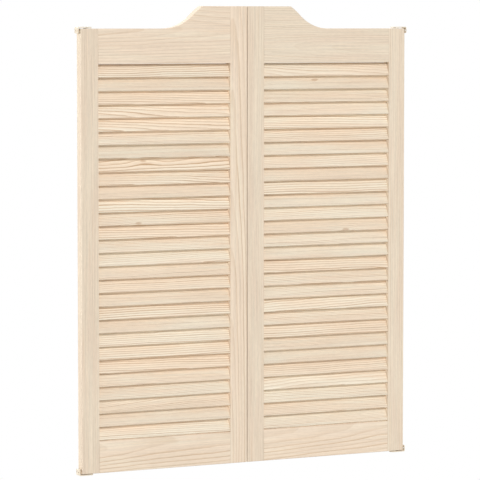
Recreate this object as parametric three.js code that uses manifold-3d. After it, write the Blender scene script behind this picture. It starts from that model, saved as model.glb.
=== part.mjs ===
// A pair of louvred pine cafe doors that swing both ways on pivots at the top and bottom of each leaf.
// Millimetres, +Z up, the front faces -Y. The origin is in the middle of the doorway, half way through
// the leaves and level with their bottom edges.
import * as THREE from 'three';
import { mergeVertices } from 'three/addons/utils/BufferGeometryUtils.js';
import Module from 'manifold-3d';

const wasm = await Module();
wasm.setup();

// Leaf frame
const LEAF_WIDTH = 394;
const LEAF_HEIGHT = 993;
const LEAF_THICKNESS = 21;
const LEAF_GAP = 1.4;
const STILE_WIDTH = 40.5;
const TOP_RAIL_HEIGHT = 74.5;
const BOTTOM_RAIL_HEIGHT = 68.5;
const GLUE_GAP = 0.2;

// Swept top: the crest stands TOP_STEP over the hinge stile and breaks at an angle into two arcs
const TOP_STEP = 48;
const CREST_LENGTH = 107;
const CREST_RADIUS = 160;
const CREST_BREAK = THREE.MathUtils.degToRad(34);
const COVE_RADIUS = 96;

// Louvre slats
const SLAT_WIDTH = 30.5;
const SLAT_THICKNESS = 5.5;
const SLAT_EASE = 1.4;
const SLAT_SETBACK = 0.2;
const SLAT_RECESS = 3.8;
const SLAT_PITCH = 28.5;
const SLAT_HOUSING = 8;
const SLATS_PER_BANK = 4;
const STRIP_WIDTH = 5.5;

// Fits between pieces
const FIT_GAP = 0.3;
const LIFT_GAP = 0.7;
const SWING_CLEARANCE = 0.8;

// Dowels
const DOWEL_DIAMETER = 8;
const DOWEL_LENGTH = 50;
const DOWEL_SPACING = 20;
const DOWEL_COVER = 3;

// Pivots
const PIN_DIAMETER = 6;
const PIN_CHAMFER = 0.8;
const PIN_HEAD_HEIGHT = 3;
const RIVET_DIAMETER = 9;
const RIVET_DEPTH = 1.2;
const BUSH_WALL = 2;
const BUSH_LENGTH = 16;
const GUIDE_LENGTH = 8;
const BUSH_FLANGE_WIDTH = 2;
const BUSH_FLANGE_THICKNESS = 1;
const BORE_SPARE = 2;

// Return spring
const SPRING_WIRE = 2;
const SPRING_COILS = 6;
const SPRING_COIL_GAP = 0.5;
const SPRING_BEND = 3;
const SPRING_PIN_CLEARANCE = 1.2;
const SPRING_BORE_CLEARANCE = 1;

// Jamb brackets
const BRACKET_WIDTH = 18;
const BRACKET_THICKNESS = 2;
const BRACKET_LENGTH = 14;
const SCREW_DIAMETER = 4;
const SCREW_HEAD_DIAMETER = 7;
const SCREW_HEAD_DEPTH = 1.4;
const SCREW_SPACING = 9;

const ROUND_SIDES = 16;
const SMALL_SIDES = 10;
const ARC_STEPS = 10;
const CURL_STEPS = 8;
const WIRE_SIDES = 5;
const OVERCUT = 1;

// Heights and distances that follow. Distances across a leaf are measured from its meeting edge.
const hingeStileHeight = LEAF_HEIGHT - TOP_STEP;
const topRailBase = hingeStileHeight - TOP_RAIL_HEIGHT;
const hingeStileEdge = LEAF_WIDTH - STILE_WIDTH;
const pivotInset = STILE_WIDTH / 2;
const pivotDistance = LEAF_WIDTH - pivotInset;
const cornerSweep = Math.hypot(pivotInset, LEAF_THICKNESS / 2);
const flangeFace = pivotDistance + cornerSweep + SWING_CLEARANCE;
const jambFace = flangeFace + BRACKET_THICKNESS;

// The slats fill the leaf's thickness between their setback at the front and their recess at the back,
// and their tilt from upright follows from that
const slatReach = LEAF_THICKNESS - SLAT_SETBACK - SLAT_RECESS;
const slatMiddle = (SLAT_SETBACK - SLAT_RECESS) / 2;
const slatDiagonal = Math.hypot(SLAT_WIDTH, SLAT_THICKNESS);
const slatTilt = Math.asin(slatReach / slatDiagonal) - Math.atan2(SLAT_THICKNESS, SLAT_WIDTH);
const slatRise = SLAT_WIDTH * Math.cos(slatTilt) + SLAT_THICKNESS * Math.sin(slatTilt);
const slatRun = topRailBase - BOTTOM_RAIL_HEIGHT - 2 * FIT_GAP - slatRise;
const slatCount = Math.round(slatRun / SLAT_PITCH) + 1;
const slatPitch = slatRun / (slatCount - 1);
const firstSlat = BOTTOM_RAIL_HEIGHT + FIT_GAP + slatRise / 2;
const housingFloor = STILE_WIDTH - SLAT_HOUSING;

// Pivot radii and the spring bore
const pinRadius = PIN_DIAMETER / 2;
const pinHoleRadius = pinRadius + FIT_GAP;
const bushRadius = pinHoleRadius + BUSH_WALL;
const coilRadius = pinRadius + SPRING_PIN_CLEARANCE + SPRING_WIRE / 2;
const coilOuterRadius = coilRadius + SPRING_WIRE / 2;
const springBoreRadius = coilOuterRadius + SPRING_BORE_CLEARANCE;
const guideRadius = springBoreRadius - FIT_GAP;
const coilPitch = SPRING_WIRE + SPRING_COIL_GAP;
const coilClimb = Math.atan2(coilPitch, 2 * Math.PI * coilRadius);
const springHeight = SPRING_COILS * coilPitch + 2 * SPRING_BEND * Math.cos(coilClimb);
const guideBase = hingeStileHeight - GUIDE_LENGTH;
const springBase = guideBase - springHeight;
const springBoreFloor = springBase - PIN_HEAD_HEIGHT - BORE_SPARE;
const bushBoreDepth = BUSH_LENGTH + BORE_SPARE;
const tangDepth = SPRING_WIRE;
const dowelHoleRadius = DOWEL_DIAMETER / 2 + FIT_GAP;

// Tongue faces of the brackets, next to the leaf
const lowerTongueTop = -BUSH_FLANGE_THICKNESS - FIT_GAP;
const upperTongueBase = hingeStileHeight + BUSH_FLANGE_THICKNESS + LIFT_GAP;

const material = (color, roughness, metalness) => () =>
  new THREE.MeshStandardMaterial({ color, roughness, metalness });
const framePine = material(0xe6d6bc, 0.62, 0);
const slatPine = material(0xeedac0, 0.6, 0);
const beech = material(0xd9b98f, 0.6, 0);
const zincSteel = material(0xc9ccce, 0.35, 1);
const creamEnamel = material(0xe9dcc4, 0.45, 0);
const springSteel = material(0x8d9094, 0.4, 1);
const nylon = material(0xf0efe8, 0.5, 0);

// A closed solid from a geometry whose shared corners are merged
function solid(geometry) {
  geometry.deleteAttribute('normal');
  geometry.deleteAttribute('uv');
  const merged = mergeVertices(geometry);
  const triVerts = new Uint32Array(merged.index.array);
  const vertProperties = new Float32Array(merged.attributes.position.array);
  return new wasm.Manifold(new wasm.Mesh({ numProp: 3, vertProperties, triVerts }));
}

function geometryOf(body) {
  const { vertProperties, triVerts } = body.getMesh();
  const geometry = new THREE.BufferGeometry();
  geometry.setAttribute('position', new THREE.BufferAttribute(vertProperties, 3));
  geometry.setIndex(new THREE.BufferAttribute(triVerts, 1));
  geometry.computeVertexNormals();
  return geometry;
}

function piece(parent, name, body, makeMaterial) {
  const mesh = new THREE.Mesh(geometryOf(body), makeMaterial());
  mesh.name = name;
  parent.add(mesh);
}

// A box between two corners, in any order of each coordinate
function block(from, to) {
  const size = [0, 1, 2].map((i) => Math.abs(to[i] - from[i]));
  const middle = [0, 1, 2].map((i) => (to[i] + from[i]) / 2);
  return solid(new THREE.BoxGeometry(...size).translate(...middle));
}

// A solid of revolution about the upright line at x. The profile's [radius, height] pairs are in rising
// order, and its heights are measured from z, upwards or, where up is -1, downwards.
function turned(profile, x, z = 0, up = 1) {
  const points = profile.map(([radius, height]) => new THREE.Vector2(radius, z + up * height));
  const ordered = up > 0 ? points : points.reverse();
  const upright = new THREE.LatheGeometry(ordered, ROUND_SIDES).rotateX(Math.PI / 2);
  return solid(upright.translate(x, 0, 0));
}

// A solid of revolution about a line along X, which leaves x at height z to the right or left
function turnedAlong(profile, x, z, direction) {
  const points = profile.map(([radius, length]) => new THREE.Vector2(radius, length));
  const lying = new THREE.LatheGeometry(points, SMALL_SIDES).rotateZ((-direction * Math.PI) / 2);
  return solid(lying.translate(x, 0, z));
}

function rod(radius, from, to) {
  return [[0, from], [radius, from], [radius, to], [0, to]];
}

// Turns a length along X into a slat's place: upright, then tilted with its lower edge to the front
function tilted(geometry, x, z) {
  return solid(geometry.rotateX(-slatTilt).translate(x, slatMiddle, z));
}

// A slat along X between two places, with its lower front and upper back edges eased. With play all round
// it is the housing that takes the slat's end in a stile.
function slat(x0, x1, z, play = 0) {
  const half = SLAT_WIDTH / 2 + play;
  const thick = SLAT_THICKNESS / 2 + play;
  const section = new THREE.Shape();
  section.moveTo(-thick + SLAT_EASE, -half);
  section.lineTo(thick, -half);
  section.lineTo(thick, half - SLAT_EASE);
  section.lineTo(thick - SLAT_EASE, half);
  section.lineTo(-thick, half);
  section.lineTo(-thick, -half + SLAT_EASE);
  const length = new THREE.ExtrudeGeometry(section, { depth: Math.abs(x1 - x0), bevelEnabled: false });
  return tilted(length.rotateX(Math.PI / 2).rotateZ(Math.PI / 2), Math.min(x0, x1), z);
}

// The heights of the slats in each bank, from the bottom up, shared out evenly
const bankCount = Math.ceil(slatCount / SLATS_PER_BANK);
const bankStart = (bank) => Math.round((bank * slatCount) / bankCount);
const slatHeights = Array.from({ length: slatCount }, (_, i) => firstSlat + i * slatPitch);
const banks = Array.from({ length: bankCount }, (_, bank) =>
  slatHeights.slice(bankStart(bank), bankStart(bank + 1)));

// A bank of slats, held together by a strip that lies flush in the hinge stile
function slatBank(across, heights) {
  const front = slatMiddle - STRIP_WIDTH / 2;
  const back = slatMiddle + STRIP_WIDTH / 2;
  const near = across(housingFloor + FIT_GAP);
  const far = across(hingeStileEdge + SLAT_HOUSING - FIT_GAP);
  const spine = block([across(hingeStileEdge), front, heights[0]], [far, back, heights.at(-1)]);
  return heights.reduce((all, z) => all.add(slat(near, far, z)), spine);
}

// What the slats' ends take out of a stile, between a housing's floor and the stile's inner face
function slatHousings(heights, floor, face) {
  const housings = heights.map((z) => slat(floor, face, z, FIT_GAP));
  return housings.reduce((all, housing) => all.add(housing));
}

// The groove for a bank's strip in the hinge stile
function stripGroove(heights, floor, face) {
  const front = slatMiddle - STRIP_WIDTH / 2 - FIT_GAP;
  const back = slatMiddle + STRIP_WIDTH / 2 + FIT_GAP;
  return block([floor, front, heights[0]], [face, back, heights.at(-1)]);
}

// Dowel heights in the bottom and the top joints, clear of the pivot bores
const dowelStep = dowelHoleRadius + DOWEL_COVER;
const bottomDowels = [0, 1].map((i) => bushBoreDepth + dowelStep + i * DOWEL_SPACING);
const topDowels = [0, 1].map((i) => springBoreFloor - dowelStep - i * DOWEL_SPACING);

function dowelHoles(x) {
  const half = DOWEL_LENGTH / 2 + FIT_GAP;
  const hole = rod(dowelHoleRadius, -half, half);
  const holes = [...bottomDowels, ...topDowels].map((z) => turnedAlong(hole, x, z, 1));
  return holes.reduce((all, next) => all.add(next));
}

function dowel(x, z) {
  const half = DOWEL_LENGTH / 2;
  return turnedAlong(rod(DOWEL_DIAMETER / 2, -half, half), x, z, 1);
}

// The top rail's outline: level foot, hollow cove, round shoulder, level crest
function topRailOutline(across) {
  const shoulder = CREST_RADIUS * Math.cos(CREST_BREAK);
  const slope = Math.acos((COVE_RADIUS + shoulder - TOP_STEP) / (COVE_RADIUS + CREST_RADIUS));
  const meet = CREST_LENGTH + CREST_RADIUS * (Math.sin(slope) - Math.sin(CREST_BREAK));
  const foot = meet + COVE_RADIUS * Math.sin(slope);
  const crestCentre = CREST_LENGTH - CREST_RADIUS * Math.sin(CREST_BREAK);
  const outline = new THREE.Path();
  outline.moveTo(STILE_WIDTH + GLUE_GAP, topRailBase);
  outline.lineTo(hingeStileEdge - GLUE_GAP, topRailBase);
  outline.lineTo(hingeStileEdge - GLUE_GAP, hingeStileHeight);
  outline.lineTo(foot, hingeStileHeight);
  const coveStart = -Math.PI / 2;
  outline.absarc(foot, hingeStileHeight + COVE_RADIUS, COVE_RADIUS, coveStart, coveStart - slope, true);
  const crestEnd = Math.PI / 2;
  outline.absarc(
    crestCentre, LEAF_HEIGHT - shoulder, CREST_RADIUS, crestEnd - slope, crestEnd - CREST_BREAK, false,
  );
  outline.lineTo(STILE_WIDTH + GLUE_GAP, LEAF_HEIGHT);
  return outline.getPoints(ARC_STEPS).map((p) => new THREE.Vector2(across(p.x), p.y));
}

function topRail(across) {
  const shape = new THREE.Shape(topRailOutline(across));
  const board = new THREE.ExtrudeGeometry(shape, { depth: LEAF_THICKNESS, bevelEnabled: false });
  return solid(board.rotateX(Math.PI / 2).translate(0, LEAF_THICKNESS / 2, 0));
}

// A straight board of the leaf's thickness
function board(across, from, to, base, top) {
  const half = LEAF_THICKNESS / 2;
  return block([across(from), -half, base], [across(to), half, top]);
}

// The return spring's centre line, laid out on its cylinder: a tang, a bend, the coils, a bend, a tang
const springRun = 2 * Math.PI * coilRadius * SPRING_COILS + 2 * SPRING_BEND * (1 - Math.sin(coilClimb));

function onCoil(x, hand, run, height) {
  const turn = (hand * run) / coilRadius;
  return new THREE.Vector3(x + coilRadius * Math.cos(turn), coilRadius * Math.sin(turn), height);
}

function springCurve(x, hand) {
  const bendSteps = CURL_STEPS / 2;
  const bend = Array.from({ length: bendSteps + 1 }, (_, i) => {
    const angle = ((Math.PI / 2 - coilClimb) * i) / bendSteps;
    return [SPRING_BEND * (1 - Math.cos(angle)), SPRING_BEND * Math.sin(angle)];
  });
  const lower = [[0, -tangDepth], ...bend];
  const upper = lower.map(([run, rise]) => [springRun - run, springHeight - rise]).reverse();
  const [coilStart, coilEnd] = [lower.at(-1), upper[0]];
  const coilSteps = SPRING_COILS * CURL_STEPS;
  const coils = Array.from({ length: coilSteps - 1 }, (_, i) => {
    const share = (i + 1) / coilSteps;
    return coilStart.map((value, k) => value + (coilEnd[k] - value) * share);
  });
  const route = [...lower, ...coils, ...upper];
  return new THREE.CatmullRomCurve3(
    route.map(([run, rise]) => onCoil(x, hand, run, springBase + rise)),
  );
}

function returnSpring(x, hand) {
  const corners = Array.from({ length: WIRE_SIDES }, (_, i) => {
    const angle = (2 * Math.PI * i) / WIRE_SIDES;
    return new THREE.Vector2(Math.cos(angle), Math.sin(angle)).multiplyScalar(SPRING_WIRE / 2);
  });
  const wire = new THREE.Shape(corners);
  const steps = (SPRING_COILS + 2) * CURL_STEPS;
  return solid(new THREE.ExtrudeGeometry(wire, { steps, extrudePath: springCurve(x, hand) }));
}

// The hole that takes an end of the spring, into a face at height z, upwards or downwards
function tangPocket(x, hand, run, z, up) {
  const centre = onCoil(x, hand, run, z);
  const hole = rod(SPRING_WIRE / 2 + FIT_GAP, -OVERCUT, tangDepth + FIT_GAP);
  return turned(hole, centre.x, z, up).translate([0, centre.y, 0]);
}

// A sleeve round the pin, let into the stile's end at height mouth, with a flange that lies on the end
function flangedBush(x, radius, length, mouth, up) {
  const flange = radius + BUSH_FLANGE_WIDTH;
  const profile = [
    [pinHoleRadius, -BUSH_FLANGE_THICKNESS],
    [flange, -BUSH_FLANGE_THICKNESS],
    [flange, 0],
    [radius, 0],
    [radius, length],
    [pinHoleRadius, length],
    [pinHoleRadius, -BUSH_FLANGE_THICKNESS],
  ];
  return turned(profile, x, mouth, up);
}

function topBush(x, hand) {
  const bush = flangedBush(x, guideRadius, GUIDE_LENGTH, hingeStileHeight, -1);
  return bush.subtract(tangPocket(x, hand, springRun, guideBase, 1));
}

// Each pin ends in a flush rivet in its bracket's tongue, from whose outer face its lengths are measured
function bottomPin(x) {
  const foot = lowerTongueTop - BRACKET_THICKNESS;
  const length = BUSH_LENGTH - foot;
  const profile = [
    [0, 0],
    [RIVET_DIAMETER / 2, 0],
    [pinRadius, RIVET_DEPTH],
    [pinRadius, length - PIN_CHAMFER],
    [pinRadius - PIN_CHAMFER, length],
    [0, length],
  ];
  return turned(profile, x, foot);
}

function topPin(x, hand) {
  const crown = upperTongueBase + BRACKET_THICKNESS;
  const headTop = crown - springBase;
  const profile = [
    [0, 0],
    [RIVET_DIAMETER / 2, 0],
    [pinRadius, RIVET_DEPTH],
    [pinRadius, headTop],
    [guideRadius, headTop],
    [guideRadius, headTop + PIN_HEAD_HEIGHT],
    [0, headTop + PIN_HEAD_HEIGHT],
  ];
  return turned(profile, x, crown, -1).subtract(tangPocket(x, hand, 0, springBase, -1));
}

// The countersunk hole that a bracket's rivet or screw fills, from the face that its head lies in
function countersink(headRadius, radius, depth) {
  return [
    [0, -OVERCUT],
    [headRadius, -OVERCUT],
    [headRadius, 0],
    [radius, depth],
    [radius, BRACKET_THICKNESS + OVERCUT],
    [0, BRACKET_THICKNESS + OVERCUT],
  ];
}

// The tongue's plan: straight sides from the jamb to the pivot, and a round end about the pivot
function tonguePlan(across) {
  const half = BRACKET_WIDTH / 2;
  const plan = new THREE.Path();
  plan.moveTo(jambFace, -half);
  plan.lineTo(jambFace, half);
  plan.lineTo(pivotDistance, half);
  plan.absarc(pivotDistance, 0, half, Math.PI / 2, (3 * Math.PI) / 2, false);
  return plan.getPoints(ARC_STEPS).map((p) => new THREE.Vector2(across(p.x), p.y));
}

// An enamelled steel angle: its flange lies on the jamb, and its tongue carries the pin past the stile's end.
// The tongue's leaf side is at height face, and the flange runs from it upwards or downwards.
function jambBracket(across, face, up) {
  const half = BRACKET_WIDTH / 2;
  const pivot = across(pivotDistance);
  const outer = face - up * BRACKET_THICKNESS;
  const end = outer + up * BRACKET_LENGTH;
  const sheet = new THREE.ExtrudeGeometry(new THREE.Shape(tonguePlan(across)), {
    depth: BRACKET_THICKNESS,
    bevelEnabled: false,
  });
  const tongue = solid(sheet.translate(0, 0, Math.min(face, outer)));
  const flange = block([across(flangeFace), -half, outer], [across(jambFace), half, end]);
  const rivetSink = countersink(RIVET_DIAMETER / 2 + FIT_GAP, pinHoleRadius, RIVET_DEPTH);
  const screwSink = countersink(SCREW_HEAD_DIAMETER / 2, SCREW_DIAMETER / 2, SCREW_HEAD_DEPTH);
  const middle = (face + end) / 2;
  const screw = turnedAlong(screwSink, across(flangeFace), middle, Math.sign(pivot));
  const screws = [-SCREW_SPACING / 2, SCREW_SPACING / 2].map((step) => screw.translate([0, step, 0]));
  const angle = tongue.add(flange).subtract(turned(rivetSink, pivot, outer, up));
  return screws.reduce((rest, hole) => rest.subtract(hole), angle);
}

// One leaf with its pivots and brackets. side is -1 for the left leaf and 1 for the right one.
function leaf(name, side) {
  const group = new THREE.Group();
  const across = (distance) => side * (LEAF_GAP / 2 + distance);
  const pivot = across(pivotDistance);
  const meetingHoles = dowelHoles(across(STILE_WIDTH));
  const hingeHoles = dowelHoles(across(hingeStileEdge));

  let meetingStile = board(across, 0, STILE_WIDTH, 0, LEAF_HEIGHT).subtract(meetingHoles);
  let hingeStile = board(across, hingeStileEdge, LEAF_WIDTH, 0, hingeStileHeight).subtract(hingeHoles);
  for (const heights of banks) {
    const meeting = [across(housingFloor), across(STILE_WIDTH + OVERCUT)];
    const hinge = [across(hingeStileEdge + SLAT_HOUSING), across(hingeStileEdge - OVERCUT)];
    const hingeHousings = slatHousings(heights, ...hinge).add(stripGroove(heights, ...hinge));
    meetingStile = meetingStile.subtract(slatHousings(heights, ...meeting));
    hingeStile = hingeStile.subtract(hingeHousings);
  }
  const bushBore = rod(bushRadius + FIT_GAP, -OVERCUT, bushBoreDepth);
  const springBore = rod(springBoreRadius, -OVERCUT, hingeStileHeight - springBoreFloor);
  hingeStile = hingeStile
    .subtract(turned(bushBore, pivot))
    .subtract(turned(springBore, pivot, hingeStileHeight, -1));
  piece(group, `${name}_hinge_stile`, hingeStile, framePine);
  piece(group, `${name}_meeting_stile`, meetingStile, framePine);

  const upperRail = topRail(across).subtract(meetingHoles).subtract(hingeHoles);
  piece(group, `${name}_top_rail`, upperRail, framePine);
  const railEnds = [STILE_WIDTH + GLUE_GAP, hingeStileEdge - GLUE_GAP];
  const lowerRail = board(across, ...railEnds, 0, BOTTOM_RAIL_HEIGHT);
  piece(group, `${name}_bottom_rail`, lowerRail.subtract(meetingHoles).subtract(hingeHoles), framePine);

  for (const [edge, joint] of [['hinge', hingeStileEdge], ['meeting', STILE_WIDTH]]) {
    bottomDowels.forEach((z, i) => {
      piece(group, `${name}_bottom_${edge}_dowel_${i + 1}`, dowel(across(joint), z), beech);
    });
    topDowels.forEach((z, i) => {
      piece(group, `${name}_top_${edge}_dowel_${i + 1}`, dowel(across(joint), z), beech);
    });
  }

  banks.forEach((heights, i) => {
    piece(group, `${name}_slat_bank_${i + 1}`, slatBank(across, heights), slatPine);
  });

  piece(group, `${name}_bottom_bush`, flangedBush(pivot, bushRadius, BUSH_LENGTH, 0, 1), nylon);
  piece(group, `${name}_top_bush`, topBush(pivot, side), nylon);
  piece(group, `${name}_return_spring`, returnSpring(pivot, side), springSteel);
  piece(group, `${name}_bottom_pin`, bottomPin(pivot), zincSteel);
  piece(group, `${name}_top_pin`, topPin(pivot, side), zincSteel);
  piece(group, `${name}_bottom_jamb_bracket`, jambBracket(across, lowerTongueTop, 1), creamEnamel);
  piece(group, `${name}_top_jamb_bracket`, jambBracket(across, upperTongueBase, -1), creamEnamel);
  return group;
}

const doors = new THREE.Group();
doors.add(leaf('left', -1), leaf('right', 1));

export default doors;
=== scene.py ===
"""Louvred pine cafe doors on concealed sprung pivots: the visible pieces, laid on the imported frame."""

import itertools
import logging
import math
import random
from collections.abc import Iterable, Sequence
from dataclasses import dataclass, field, replace
from enum import Enum
from typing import Any

import bmesh
import bpy
from bpy.types import Material, Mesh, Object
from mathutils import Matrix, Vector


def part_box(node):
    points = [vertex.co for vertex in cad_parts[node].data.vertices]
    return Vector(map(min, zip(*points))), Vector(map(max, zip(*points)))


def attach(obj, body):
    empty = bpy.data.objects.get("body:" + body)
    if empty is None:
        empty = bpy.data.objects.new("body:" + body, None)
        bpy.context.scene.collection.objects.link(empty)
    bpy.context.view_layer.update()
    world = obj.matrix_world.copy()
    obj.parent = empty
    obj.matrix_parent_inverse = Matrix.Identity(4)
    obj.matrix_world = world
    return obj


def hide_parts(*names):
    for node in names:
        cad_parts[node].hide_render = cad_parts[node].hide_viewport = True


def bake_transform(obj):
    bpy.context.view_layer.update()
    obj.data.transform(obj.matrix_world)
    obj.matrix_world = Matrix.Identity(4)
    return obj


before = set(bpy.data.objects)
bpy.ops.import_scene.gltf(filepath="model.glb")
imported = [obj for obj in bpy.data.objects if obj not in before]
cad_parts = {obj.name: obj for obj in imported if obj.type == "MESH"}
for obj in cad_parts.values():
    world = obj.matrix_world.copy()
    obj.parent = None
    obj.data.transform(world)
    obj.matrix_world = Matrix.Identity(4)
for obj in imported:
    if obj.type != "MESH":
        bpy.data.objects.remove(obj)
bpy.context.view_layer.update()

MM = 0.001
QUARTER = math.pi / 2
GRAIN_PLACE = "grain_place"  # attribute: the place along, across and through a board, in millimetres
BOARD_SEED = "board_seed"  # attribute: three numbers from zero to one that are each board's own
BOARD_DRAW = 2606  # seed of the boards' differences
FITTINGS = "jamb_fittings"  # the body that stays on the jambs
ARC_STEPS = 4  # steps in a rounded arris
ROUND_SIDES = 40  # sides of a turned piece
SMOOTH_ANGLE = math.radians(30)  # faces that meet at less are shaded as one
OVERCUT = 1.0 * MM  # how far a cutter stands out of what it cuts
PLAY = 0.3 * MM  # room round what sits or turns in a hole
BUSH_FLANGE = 2.0 * MM  # how far a bush's flange stands out past its sleeve
MIX_FIRST, MIX_SECOND, MIX_RESULT = 6, 7, 2  # places of a Mix node's colour sockets
WHITE = (1.0, 1.0, 1.0, 1.0)

Colour = tuple[float, float, float, float]
Point = tuple[float, float]
Triple = tuple[float, float, float]
Station = tuple[float, float, float, float]
Ring = list[Vector]
Box = tuple[Vector, Vector]

log = logging.getLogger("cafe_doors")


def srgb(*levels: int) -> Colour:
    """The linear colour of a red, green and blue as a screen shows them, each from 0 to 255."""
    shares = [level / 255 for level in levels]
    return (*(s / 12.92 if s <= 0.04045 else ((s + 0.055) / 1.055) ** 2.4 for s in shares), 1.0)


class Side(Enum):
    """The two leaves, by the sign of their place across the doorway."""

    LEFT = -1
    RIGHT = 1

    @property
    def leaf(self) -> str:
        """The body that this leaf's pieces ride on."""
        return self.node("leaf")

    def node(self, name: str) -> str:
        """The full name of one of this leaf's nodes or pieces."""
        return f"{self.name.lower()}_{name}"


class Edge(Enum):
    """The two upright edges of a leaf."""

    HINGE = "hinge"
    MEETING = "meeting"


class End(Enum):
    """The two ends of a leaf, by the sign of the way from there into its hinge stile."""

    BOTTOM = 1
    TOP = -1

    @property
    def title(self) -> str:
        """The word in the names of this end's nodes."""
        return self.name.lower()

    @property
    def inward(self) -> Vector:
        """The way from this end into the stile."""
        return Vector((0, 0, self.value))

    def outer(self, box: Box) -> float:
        """Height of a box's face towards this end of the leaf."""
        return box[0].z if self is End.BOTTOM else box[1].z

    def inner(self, box: Box) -> float:
        """Height of a box's face away from this end of the leaf."""
        return box[1].z if self is End.BOTTOM else box[0].z


class Grain(Enum):
    """Which way a board's grain runs, as the axes along it, across it and through it."""

    UPRIGHT = (2, 0, 1)
    LEVEL = (0, 2, 1)


class Slot(Enum):
    """The names of the finishes' material slots."""

    FRAME_PINE = "frame_pine"
    SLAT_PINE = "slat_pine"
    ENAMEL = "cream_enamel"
    ZINC = "zinc_steel"
    SPRING = "spring_steel"
    NYLON = "nylon"


@dataclass(eq=False)
class Sock:
    """One output of a node on a sheet, which takes part in Python sums."""

    sheet: "NodeSheet"
    socket: bpy.types.NodeSocket

    def other(self, name: str) -> "Sock":
        """Another output of the same node."""
        return Sock(self.sheet, self.socket.node.outputs[name])

    def __add__(self, term: "Term") -> "Sock":
        """Sum."""
        return self.sheet.maths("ADD", self, term)

    __radd__ = __add__

    def __sub__(self, term: "Term") -> "Sock":
        """Difference."""
        return self.sheet.maths("SUBTRACT", self, term)

    def __rsub__(self, term: "Term") -> "Sock":
        """Difference from a number."""
        return self.sheet.maths("SUBTRACT", term, self)

    def __mul__(self, term: "Term") -> "Sock":
        """Product."""
        return self.sheet.maths("MULTIPLY", self, term)

    __rmul__ = __mul__

    def __truediv__(self, term: "Term") -> "Sock":
        """Quotient."""
        return self.sheet.maths("DIVIDE", self, term)

    def __rtruediv__(self, term: "Term") -> "Sock":
        """Quotient of a number."""
        return self.sheet.maths("DIVIDE", term, self)

    def __gt__(self, term: "Term") -> "Sock":
        """One where this is greater, zero elsewhere."""
        return self.sheet.maths("GREATER_THAN", self, term)

    def fract(self) -> "Sock":
        """What is left over the whole number."""
        return self.sheet.maths("FRACT", self)

    def floor(self) -> "Sock":
        """The whole number below."""
        return self.sheet.maths("FLOOR", self)

    def root(self) -> "Sock":
        """Square root."""
        return self.sheet.maths("SQRT", self)

    def between(self, low: float, high: float) -> "Sock":
        """Low where this is zero, high where it is one, and in proportion between."""
        return self * (high - low) + low

    def step(self, low: float, high: float) -> "Sock":
        """Smooth rise from zero at low to one at high, or a fall where low is above high.

        Args:
            low: Where the step is zero.
            high: Where the step is one.

        Returns:
            The step, between zero and one.
        """
        bounds = {"From Min": min(low, high), "From Max": max(low, high)}
        ends = {"To Min": float(low > high), "To Max": float(low < high)}
        settings = {"interpolation_type": "SMOOTHSTEP"}
        return self.sheet.node("ShaderNodeMapRange", settings, {"Value": self, **bounds, **ends})


Term = Sock | float


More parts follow.
